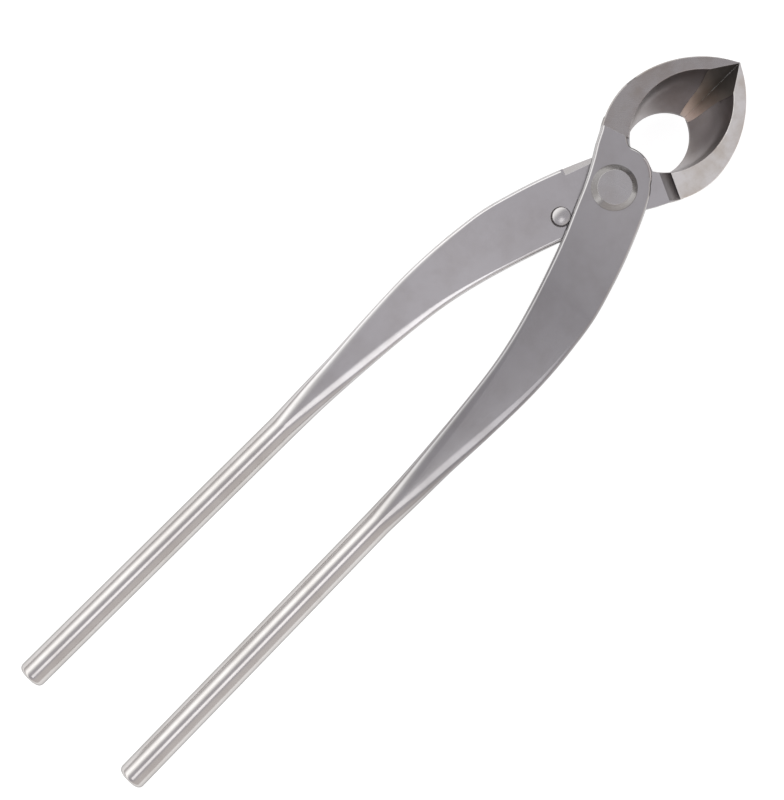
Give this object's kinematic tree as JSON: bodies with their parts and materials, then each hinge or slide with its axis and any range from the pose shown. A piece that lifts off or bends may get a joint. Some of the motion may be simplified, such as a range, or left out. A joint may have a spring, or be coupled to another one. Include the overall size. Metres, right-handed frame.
{
  "type": "concave branch cutter",
  "caption": "Long-handled concave cutter: crossed steel levers on a bevelled rivet, hollow jaws that close edge to edge, and round bar handles.",
  "frame": {"origin": "centre of the flat front face of the pivot rivet's head, on the joint's axis", "axes": "+X to the right seen from the front, towards the front lever's handle; +Y from the pivot towards the jaw tips; +Z out of the front, along the joint's axis"},
  "size_m": [0.0496, 0.265, 0.0188],
  "materials": {
    "forged_steel": "satin ground stainless steel",
    "rivet_steel": "turned and faced stainless steel",
    "pin_steel": "turned stainless steel, domed end"
  },
  "bodies": {
    "back_half": {"back_lever": "forged_steel", "pivot_rivet": "rivet_steel", "stop_pin": "pin_steel"},
    "front_half": {"front_lever": "forged_steel"}
  },
  "joints": [
    {"name": "pivot", "type": "hinge", "parent": "back_half", "child": "front_half", "pos_m": [0, 0, -0.00635], "axis": [0, 0, 1], "range_deg": [0, 30]}
  ]
}
